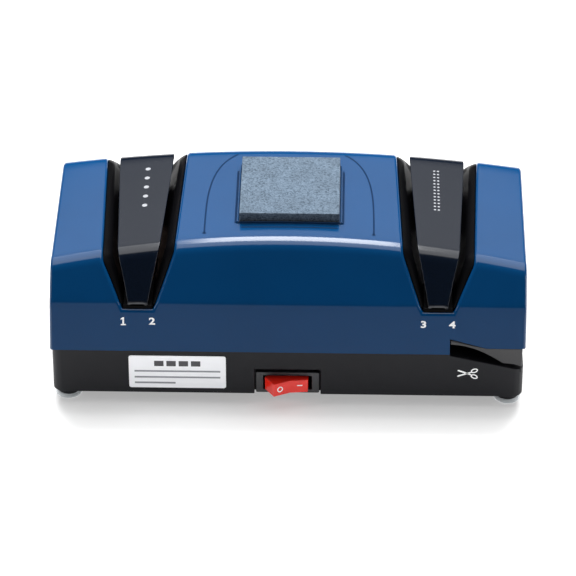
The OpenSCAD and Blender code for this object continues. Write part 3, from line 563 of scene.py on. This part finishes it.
class Nodes:
    """Short way to add and link shader nodes."""

    def __init__(self, name):
        self.material = bpy.data.materials.new(name)
        self.material.use_nodes = True
        self.tree = self.material.node_tree
        self.shader = self.tree.nodes["Principled BSDF"]

    def add(self, kind, inputs=(), **settings):
        """New node with its inputs' values and its own settings."""
        node = self.tree.nodes.new(kind)
        for key, value in settings.items():
            setattr(node, key, value)
        for key, value in dict(inputs).items():
            node.inputs[key].default_value = value
        return node

    def link(self, source, target):
        self.tree.links.new(source, target)

    def colour(self, source):
        self.link(source, self.shader.inputs["Base Color"])

    def roughness(self, source):
        self.link(source, self.shader.inputs["Roughness"])

    def place(self):
        return self.add("ShaderNodeTexCoord").outputs["Object"]

    def noise(self, scale, detail=4.0, roughness=0.5):
        node = self.add("ShaderNodeTexNoise",
                        {"Scale": scale, "Detail": detail, "Roughness": roughness})
        self.link(self.place(), node.inputs["Vector"])
        return node.outputs["Fac"]

    def ramp(self, factor, stops):
        node = self.add("ShaderNodeValToRGB")
        elements = node.color_ramp.elements
        while len(elements) < len(stops):
            elements.new(0.5)
        for element, (position, colour) in zip(elements, stops):
            element.position = position
            element.color = (*colour, 1.0)
        self.link(factor, node.inputs["Fac"])
        return node.outputs["Color"]

    def span(self, factor, low, high):
        node = self.add("ShaderNodeMapRange", {"To Min": low, "To Max": high})
        self.link(factor, node.inputs["Value"])
        return node.outputs["Result"]

    def bump(self, height, strength, distance):
        node = self.add("ShaderNodeBump", {"Strength": strength, "Distance": distance})
        self.link(height, node.inputs["Height"])
        self.link(node.outputs["Normal"], self.shader.inputs["Normal"])


def moulded(name, colour, roughness, grain=2500.0, grain_depth=0.00001,
            coat=0.0, vary=0.06, gloss_level=0.5):
    """Moulded plastic: slight tone drift, uneven gloss and a fine surface grain."""
    n = Nodes(name)
    low = tuple(c * (1.0 - vary) for c in colour)
    high = tuple(min(1.0, c * (1.0 + vary)) for c in colour)
    n.colour(n.ramp(n.noise(18.0, 3.0), [(0.3, low), (0.7, high)]))
    n.roughness(n.span(n.noise(140.0, 5.0, 0.6), roughness * 0.85, roughness * 1.15))
    n.shader.inputs["Specular IOR Level"].default_value = gloss_level
    n.shader.inputs["Coat Weight"].default_value = coat
    n.shader.inputs["Coat Roughness"].default_value = 0.08
    n.bump(n.noise(grain, 2.0), 0.35, grain_depth)
    return n.material


def metal(name, colour, roughness, streaks=900.0):
    """Turned or rolled metal with fine streaks."""
    n = Nodes(name)
    stretch = n.add("ShaderNodeMapping", {"Scale": (0.08, 1.0, 1.0)})
    n.link(n.place(), stretch.inputs["Vector"])
    grain = n.add("ShaderNodeTexNoise", {"Scale": streaks, "Detail": 4.0})
    n.link(stretch.outputs["Vector"], grain.inputs["Vector"])
    streak = grain.outputs["Fac"]
    low = tuple(c * 0.82 for c in colour)
    n.colour(n.ramp(streak, [(0.3, low), (0.7, colour)]))
    n.roughness(n.span(streak, roughness * 0.7, roughness * 1.3))
    n.shader.inputs["Metallic"].default_value = 1.0
    n.bump(streak, 0.15, 0.00002)
    return n.material


def grit(name, dark, light, scale, depth, roughness=0.85):
    """Bonded abrasive: packed grains of mixed tone."""
    n = Nodes(name)
    cells = n.add("ShaderNodeTexVoronoi", {"Scale": scale})
    n.link(n.place(), cells.inputs["Vector"])
    split = n.add("ShaderNodeSeparateColor")
    n.link(cells.outputs["Color"], split.inputs["Color"])
    mid = tuple((a + b) / 2 for a, b in zip(dark, light))
    grains = n.ramp(split.outputs["Red"], [(0.0, dark), (0.35, mid), (1.0, light)])
    cloud = n.ramp(n.noise(scale * 0.09, 3.0), [(0.35, (0.82,) * 3), (0.65, (1.0,) * 3)])
    mix = n.add("ShaderNodeMix", {"Factor": 1.0}, data_type="RGBA", blend_type="MULTIPLY")
    n.link(grains, mix.inputs["A"])
    n.link(cloud, mix.inputs["B"])
    n.colour(mix.outputs["Result"])
    n.shader.inputs["Roughness"].default_value = roughness
    n.bump(cells.outputs["Distance"], 0.8, depth)
    return n.material


def clear_rubber(name):
    """Milky soft plastic of the suction feet."""
    n = Nodes(name)
    n.colour(n.ramp(n.noise(60.0, 2.0), [(0.3, (0.80, 0.84, 0.87)), (0.7, (0.88, 0.91, 0.93))]))
    n.roughness(n.span(n.noise(300.0), 0.2, 0.3))
    n.shader.inputs["Transmission Weight"].default_value = 0.3
    n.shader.inputs["IOR"].default_value = 1.42
    n.bump(n.noise(900.0), 0.2, 0.00002)
    return n.material


# ---- Lights and floor ----

# Name, place, aim, size and radiance, in metres.
SOFTBOXES = (
    ("backdrop", (0.0, 1.45, 1.45), (0.0, 0.0, 0.08), (4.0, 1.0), 0.92),
    ("key", (0.0, 0.55, 1.25), (0.0, 0.0, 0.07), (0.36, 0.6), 13.0),
    ("overhead", (0.0, 0.35, 1.5), (0.0, 0.0, 0.07), (2.4, 1.2), 2.4),
    ("fill", (0.0, 1.8, 1.9), (0.0, 0.0, 0.0), (2.2, 1.6), 15.5),
    ("horizon", (0.0, 2.4, 0.22), (0.0, 0.0, 0.07), (5.0, 0.4), 1.2),
    ("front", (0.0, -2.2, 0.42), (0.0, 0.0, 0.05), (5.0, 0.9), 0.42),
    ("left", (-1.5, -0.4, 0.5), (0.0, 0.0, 0.05), (0.3, 1.0), 5.0),
    ("right", (1.5, -0.4, 0.5), (0.0, 0.0, 0.05), (0.3, 1.0), 5.0),
)
UNREFLECTED = "fill"
WHITE = (1.0, 1.0, 1.0, 1.0)


def softbox(name, place, aim, size, radiance):
    """Rectangular area light of a given radiance."""
    data = bpy.data.lights.new(name, "AREA")
    data.shape = "RECTANGLE"
    data.size, data.size_y = size
    data.energy = radiance * math.pi * size[0] * size[1]
    light = bpy.data.objects.new(name, data)
    light.location = place
    light.rotation_euler = (Vector(aim) - Vector(place)).to_track_quat("-Z", "Y").to_euler()
    light.visible_glossy = name != UNREFLECTED
    bpy.context.scene.collection.objects.link(light)


def studio():
    """Dim white world and the softboxes."""
    world = bpy.data.worlds.new("studio")
    world.use_nodes = True
    background = world.node_tree.nodes["Background"]
    background.inputs["Color"].default_value = WHITE
    background.inputs["Strength"].default_value = 0.03
    bpy.context.scene.world = world
    for row in SOFTBOXES:
        softbox(*row)
    bpy.context.scene.view_settings.view_transform = "Standard"


def floor():
    """Plain pale paper under the part."""
    bm = bmesh.new()
    bmesh.ops.create_grid(bm, x_segments=8, y_segments=8, size=3.0)
    n = Nodes("floor_paper")
    n.colour(n.ramp(n.noise(3.0, 2.0), [(0.3, (0.64,) * 3), (0.7, (0.66,) * 3)]))
    n.shader.inputs["Roughness"].default_value = 0.9
    n.shader.inputs["Specular IOR Level"].default_value = 0.1
    n.shader.inputs["Emission Color"].default_value = WHITE
    n.shader.inputs["Emission Strength"].default_value = 0.36
    to_object("floor", bm, n.material)


# ---- Marks ----

LINE_LIFT = 0.04
PRINT_THICKNESS = 0.04
LABEL_PRINT = 0.02

# The engraved arch round the whetstone's field, and the frame at the stone's edge; their grooves
# are drawn as flat dark lines of painted groove shade.
ARCH_HALF, ARCH_START, ARCH_END, ARCH_REACH, ARCH_POWER = 41.4, -21.3, 48.5, 75.0, 3.5
FRAME_FRONT, FRAME_HALF, FRAME_BACK = -13.6, 26.5, 33.0
RULE_Y, RULE_SHARE = -17.1, 0.89
front_xs = [FRAME_HALF * (i / 13.0 - 1.0) for i in range(27)]

# The scissors mark under the notch, and the middle of the label.
MARK_X, MARK_Z = 87.8, PARTING_Z - 11.8
label_lo, label_hi = (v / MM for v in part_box("information_label"))
label_mid = (label_lo + label_hi) / 2

# The rocker's pivot, and the tip and dip of its faces from there.
joints = frame["record"]["behaviour"]["joints"]
PIVOT = Vector(next(row for row in joints if row["name"] == "rocker_press")["pos_m"]) / MM
TILT = math.radians(15.0)
ROCKER_TIP, ROCKER_DIP = (8.6, -6.56), (0.0, -5.2)


def groove_shade_line(name, path, width, material, closed=False):
    """Thin dark line laid along a path of (x, y) points on the housing's top, painted shade in
    place of an engraved groove.
    """
    bm = bmesh.new()
    rails = ([], [])
    count = len(path)
    for i, point in enumerate(path):
        before = path[i - 1] if i > 0 or closed else point
        after = path[(i + 1) % count] if i < count - 1 or closed else point
        along = (Vector(after) - Vector(before)).normalized()
        across = Vector((-along.y, along.x)) * (width / 2)
        for rail, sign in zip(rails, (-1, 1)):
            x, y = point[0] + sign * across.x, point[1] + sign * across.y
            rail.append(bm.verts.new((x * MM, y * MM, (housing_top(x) + LINE_LIFT) * MM)))
    if closed:
        rails = (rails[0] + rails[0][:1], rails[1] + rails[1][:1])
    strip(bm, *rails)
    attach(to_object(name, bm, material), BODY)


def flat_mark(name, outlines, to_place, material, thickness=PRINT_THICKNESS, body=BODY):
    """Thin printed mark from closed (u, v) outlines, placed by to_place(u, v, height)."""
    bm = bmesh.new()
    for outline in outlines:
        base, top = ([bm.verts.new([c * MM for c in to_place(u, v, height)]) for u, v in outline]
                     for height in (0.0, thickness))
        bm.faces.new(top)
        strip(bm, base + base[:1], top + top[:1])
    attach(to_object(name, bm, material), body)


def disc(cx, cy, r, steps=20):
    """Outline of a disc."""
    turns = [2 * math.pi * i / steps for i in range(steps)]
    return [(cx + r * math.cos(a), cy + r * math.sin(a)) for a in turns]


def bar(cx, cy, length, height):
    """Outline of a bar."""
    u, v = length / 2, height / 2
    return [(cx - u, cy - v), (cx + u, cy - v), (cx + u, cy + v), (cx - u, cy + v)]


def ring_outline(cx, cy, rx, ry, width, turn=0.0, steps=24):
    """Ring as one outline that runs round the outside and back round the inside."""
    points = []
    for inward, order in ((0.0, range(steps + 1)), (width, range(steps, -1, -1))):
        for i in order:
            a = 2 * math.pi * i / steps + 0.001
            u, v = turned((rx - inward) * math.cos(a), (ry - inward) * math.sin(a), turn)
            points.append((cx + u, cy + v))
    return points


def digit(text, x, z, size, material):
    """A number on the sloping lower face of the housing."""
    curve = bpy.data.curves.new("digit", "FONT")
    curve.body = text
    curve.size = size * MM
    curve.align_x = "CENTER"
    curve.align_y = "CENTER"
    curve.extrude = 0.03 * MM
    curve.offset = 0.14 * MM
    source = bpy.data.objects.new("digit", curve)
    mesh = bpy.data.meshes.new_from_object(source)
    bpy.data.objects.remove(source)
    obj = bpy.data.objects.new("number_" + text, mesh)
    y = FRONT_Y + (z - PARTING_Z) * FOOT_LEAN - 0.02
    obj.location = (x * MM, y * MM, z * MM)
    obj.rotation_euler = (math.pi / 2 - FOOT_ANGLE, 0.0, 0.0)
    obj.scale = (1.3, 1.0, 1.0)
    bpy.context.scene.collection.objects.link(obj)
    mesh.materials.append(material)
    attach(obj, BODY)


def on_lower_face(u, v, height):
    """Place on the sloping lower face of the housing."""
    y = FRONT_Y + (v - PARTING_Z) * FOOT_LEAN - height * math.cos(FOOT_ANGLE)
    return (u, y, v + height * math.sin(FOOT_ANGLE))


def on_base(u, v, height):
    """Place on the front of the base."""
    return (u, base_lo.y - height, v)


def on_label(u, v, height):
    """Place on the label, from its middle."""
    return (label_mid.x + u, label_lo.y - height, label_mid.z + v)


def on_hood(station):
    """Gives the function that places marks on the top of the hood at a station."""
    def place(u, v, height):
        top = side_rows(station + u, HOOD_INSET)[SEAT_ROWS[0]].y
        return (station + u, v, top + 0.02 + height)
    return place


def on_rocker(side):
    """Gives the function that places marks on the rocker's left or right face."""
    tip, dip = Vector((side * ROCKER_TIP[0], ROCKER_TIP[1])), Vector(ROCKER_DIP)
    along = (tip - dip).normalized() * side
    off = Vector((along.y, -along.x))
    spot = (tip + dip) / 2

    def place(u, v, height):
        flat = spot + along * u + off * height
        x, y = turned(flat.x, flat.y, TILT)
        return (PIVOT.x + x, PIVOT.y + y, PIVOT.z + v)
    return place


def blade(turn):
    """Outline of one scissors blade with its shank."""
    shape = [(-5.2, 0.0), (-4.6, 0.55), (1.2, 0.5), (2.2, 0.25),
             (2.2, -0.25), (1.2, -0.35), (-4.8, -0.3)]
    points = [turned(u, v, turn) for u, v in shape]
    return [(MARK_X + u, MARK_Z + v) for u, v in points]


def arch_x(y):
    """Half width of the arch round the whetstone's field."""
    share = (y - ARCH_START) / ARCH_REACH
    return ARCH_HALF * (1.0 - share ** ARCH_POWER) ** (1.0 / ARCH_POWER)


# ---- Small pieces ----

def finish_cad(name, bevel):
    """Rounds the sharp edges of a CAD node that stays in view."""
    obj = NODES[name]
    weld = obj.modifiers.new("weld", "WELD")
    weld.merge_threshold = 0.00001
    flat = obj.modifiers.new("flat", "DECIMATE")
    flat.decimate_type = "DISSOLVE"
    flat.angle_limit = math.radians(0.7)
    soften(obj, bevel, 50.0, 3)


def foot_boss(name, foot, material, steps=48):
    """Black dome under the base that holds a suction foot's stem."""
    lo, hi = (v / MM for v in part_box(foot))
    centre_x, centre_y = (lo.x + hi.x) / 2, (lo.y + hi.y) / 2
    rim = (hi.x - lo.x) / 2
    under = base_lo.z + 0.3
    profile = [(rim - 0.5, under), (rim - 0.6, under - 0.5), (rim - 1.0, under - 1.2),
               (rim - 1.8, under - 1.8), (rim - 2.9, under - 2.15), (2.0, under - 2.2),
               (2.0, under)]
    bm = bmesh.new()
    rings = []
    for i in range(steps):
        turn = 2 * math.pi * i / steps
        ring = [(centre_x + r * math.cos(turn), centre_y + r * math.sin(turn), z)
                for r, z in profile]
        rings.append([bm.verts.new([c * MM for c in point]) for point in ring])
    grid_faces(bm, [ring + ring[:1] for ring in rings + rings[:1]])
    obj = to_object(name, bm, material)
    soften(obj, 0.15, 40.0, 2)
    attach(obj, BODY)


def stone_rim(material):
    """Low raised rim round the front and the sides of the whetstone's seat."""
    room = min(FRAME_HALF - stone_hi.x, stone_lo.y - FRAME_FRONT) - 0.6
    profile = ((0.3, -0.1), (0.35, 0.5), (0.5, 0.75), (0.5 + (room - 0.4) / 2, 0.85),
               (room, 0.75), (room + 0.1, -0.1))
    bm = bmesh.new()
    rails = []
    for inward, height in profile:
        half = FRAME_HALF - inward
        path = [(-half, FRAME_BACK)]
        path += [(x * half / FRAME_HALF, FRAME_FRONT + inward) for x in front_xs]
        path.append((half, FRAME_BACK))
        rails.append([bm.verts.new((x * MM, y * MM, (housing_top(x) + height) * MM))
                      for x, y in path])
    grid_faces(bm, rails)
    for end in (0, -1):
        bm.faces.new([rail[end] for rail in rails])
    obj = to_object("stone_rim", bm, material)
    soften(obj, 0.0)
    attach(obj, BODY)


# ---- Build: studio and materials ----

make_camera()
studio()
floor()

blue = moulded("gloss_blue", (0.0008, 0.037, 0.118), 0.12)
# Darker, duller blue of the engraved lines: painted shade of their grooves.
groove_shade_blue = moulded("painted_groove_shade_blue", (0.0007, 0.014, 0.048), 0.6, gloss_level=0.1)
black_gloss = moulded("gloss_black", (0.002, 0.0045, 0.0105), 0.14)
black_satin = moulded("satin_black", (0.002, 0.002, 0.0025), 0.35, gloss_level=0.04)
black_textured = moulded("textured_black", (0.006, 0.0065, 0.009), 0.5, 1400.0, 0.00006,
                         gloss_level=0.2)
print_white = moulded("print_white", (0.94, 0.95, 0.96), 0.45)
print_grey = moulded("print_grey", (0.26, 0.27, 0.29), 0.5)
print_dark = moulded("print_dark", (0.05, 0.05, 0.055), 0.5)

SLOT_MATERIALS = {
    "housing_blue": blue,
    "base_black": black_textured,
    "liner_black": black_satin,
    "hood_black": black_gloss,
    "guide_black": moulded("guide_black", (0.012, 0.012, 0.014), 0.42, 1100.0, 0.0001),
    "whetstone_grey": grit("whetstone", (0.036, 0.056, 0.08), (0.108, 0.148, 0.196),
                           1500.0, 0.00012),
    "adhesive_foam": grit("foam", (0.03, 0.05, 0.07), (0.07, 0.09, 0.11), 900.0, 0.00005),
    "label_white": moulded("label_white", (0.93, 0.94, 0.97), 0.4, 600.0, 0.00002, vary=0.02),
    "foot_clear": clear_rubber("clear_rubber"),
    "screw_zinc": metal("zinc", (0.62, 0.63, 0.65), 0.32),
    "gland_rubber": moulded("gland_rubber", (0.01, 0.01, 0.011), 0.65, 900.0, 0.00005),
    "switch_grey": moulded("switch_grey", (0.022, 0.024, 0.028), 0.38, 1300.0, 0.00004),
    "rocker_red": moulded("rocker_red", (0.8, 0.018, 0.008), 0.14, coat=0.2),
    "brass": metal("brass", (0.72, 0.53, 0.24), 0.3),
    "motor_steel": metal("motor_steel", (0.52, 0.53, 0.55), 0.34, 400.0),
    "ferrite": grit("ferrite", (0.02, 0.02, 0.022), (0.05, 0.05, 0.055), 900.0, 0.00003, 0.6),
    "end_bell": metal("end_bell", (0.6, 0.6, 0.61), 0.42, 300.0),
    "bearing_steel": metal("bearing_steel", (0.66, 0.66, 0.64), 0.22),
    "carbon": grit("carbon", (0.01, 0.01, 0.01), (0.03, 0.03, 0.03), 1200.0, 0.00002, 0.5),
    "damper_rubber": moulded("damper_rubber", (0.012, 0.012, 0.012), 0.7, 700.0, 0.00008),
    "cutout_black": moulded("cutout_black", (0.015, 0.015, 0.015), 0.35),
    "lamination": metal("lamination", (0.33, 0.33, 0.35), 0.4, 2000.0),
    "copper_wire": metal("copper_wire", (0.72, 0.3, 0.13), 0.3, 1800.0),
    "fan_plastic": moulded("fan_plastic", (0.6, 0.6, 0.58), 0.45),
    "hub_aluminium": metal("hub_aluminium", (0.68, 0.69, 0.7), 0.28, 600.0),
    "coarse_grit": grit("coarse_grit", (0.12, 0.07, 0.05), (0.42, 0.3, 0.24), 900.0, 0.0003),
    "fine_grit": grit("fine_grit", (0.3, 0.3, 0.3), (0.62, 0.62, 0.6), 1700.0, 0.00015),
    "board_green": moulded("board_green", (0.01, 0.1, 0.035), 0.35, 400.0, 0.00004, vary=0.15),
    "component_black": moulded("component_black", (0.01, 0.01, 0.011), 0.45),
    "capacitor_sleeve": moulded("capacitor_sleeve", (0.02, 0.035, 0.12), 0.3),
    "lead_brown": moulded("lead_brown", (0.12, 0.035, 0.012), 0.4),
    "lead_red": moulded("lead_red", (0.4, 0.012, 0.01), 0.4),
}
for row in frame["record"]["subparts"]:
    node = NODES[row["node"]]
    if not node.material_slots:
        node.data.materials.append(None)
    for slot in node.material_slots:
        slot.material = SLOT_MATERIALS[row["material_slot"]]


# ---- Build: pieces ----

for piece, slot in (
    (upper_housing(blue), "housing_blue"),
    (wheel_hood("coarse_wheel_hood", -STATION_X, black_gloss), "hood_black"),
    (wheel_hood("fine_wheel_hood", STATION_X, black_gloss), "hood_black"),
    (slot_liner("coarse_slot_liner", -STATION_X, black_satin), "liner_black"),
    (slot_liner("fine_slot_liner", STATION_X, black_satin), "liner_black"),
):
    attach(piece, BODY)

for name, bevel in (("whetstone", 0.35), ("switch_body", 0.25), ("scissors_guide", 0.4),
                    ("information_label", 0.0), ("switch_rocker", 0.3), ("base_shell", 0.4)):
    finish_cad(name, bevel)

for place in ("front_left", "front_right", "rear_left", "rear_right"):
    foot_boss("foot_boss_" + place, "foot_" + place, black_textured)


# ---- Build: lines and printed marks ----

# The dark lines below are painted groove shade, drawn in place of engraved grooves.
arch_turns = [math.radians(90.0 * i / 30) for i in range(31)]
arch_ys = [ARCH_START + (ARCH_END - ARCH_START) * math.sin(turn) for turn in arch_turns]
for side, word in ((-1, "left"), (1, "right")):
    groove_shade_line("arch_line_" + word, [(side * arch_x(y), y) for y in arch_ys], 0.8, groove_shade_blue)
    groove_shade_line("arch_dot_" + word, disc(side * ARCH_HALF, ARCH_START, 0.5, 12), 0.9, groove_shade_blue,
               closed=True)
frame_path = [(-FRAME_HALF, FRAME_BACK)] + [(x, FRAME_FRONT) for x in front_xs]
frame_path.append((FRAME_HALF, FRAME_BACK))
groove_shade_line("stone_frame", frame_path, 0.8, groove_shade_blue)
groove_shade_line("stone_rule", [(x * RULE_SHARE, RULE_Y) for x in front_xs], 0.9, groove_shade_blue)
stone_rim(blue)

DIGIT_SIZE, DIGIT_APART = 4.7, 7.0
for text, x in (("2", -STATION_X + DIGIT_APART), ("3", STATION_X - DIGIT_APART),
                ("4", STATION_X + DIGIT_APART)):
    digit(text, x, DIGIT_Z, DIGIT_SIZE, print_white)
one_shape = [(-0.42, -1.3), (0.42, -1.3), (0.42, 1.9), (-0.2, 1.9), (-1.3, 1.2), (-1.3, 0.6),
             (-0.42, 1.0)]
one_x = -STATION_X - DIGIT_APART
flat_mark("number_1", [[(one_x + u, DIGIT_Z + v) for u, v in outline]
                       for outline in (one_shape, bar(0.05, -1.6, 2.5, 0.6))],
          on_lower_face, print_white)

# The marks on the rocker's two faces turn with it.
for name, side, outline in (("rocker_off_mark", -1, ring_outline(-1.0, 0.0, 1.5, 1.6, 0.5)),
                            ("rocker_on_mark", 1, bar(0.4, 0.6, 2.6, 0.55))):
    flat_mark(name, [outline], on_rocker(side), print_white, body="rocker")

BLADE_TURN, GRIP_TURN = math.radians(21.0), math.radians(25.0)
grips = [ring_outline(MARK_X + 3.5, MARK_Z + side * 1.75, 1.85, 1.25, 0.6, side * GRIP_TURN)
         for side in (1, -1)]
flat_mark("scissors_mark", [blade(BLADE_TURN), blade(-BLADE_TURN)] + grips, on_base, print_white)

# Plain bars in place of the label's print.
flat_mark("label_heading", [bar(-9.0 + 6.0 * i, 5.0, 4.6, 3.2) for i in range(4)],
          on_label, print_dark, LABEL_PRINT)
flat_mark("label_lines", [bar(0.0, 0.4, 42.0, 1.0), bar(0.0, -3.2, 42.0, 1.0),
                          bar(-11.0, -6.6, 20.0, 1.0)], on_label, print_grey, LABEL_PRINT)

# Grit marks on the hoods: few large dots for coarse, many small dots for fine.
flat_mark("coarse_mark", [disc(1.0, 6.0 + 8.2 * i, 1.3) for i in range(5)],
          on_hood(-STATION_X), print_grey)
flat_mark("fine_mark", [disc(-1.4 + 1.9 * k, 5.0 + 2.9 * i, 0.6, 12)
                        for i in range(13) for k in range(2)],
          on_hood(STATION_X), print_grey)
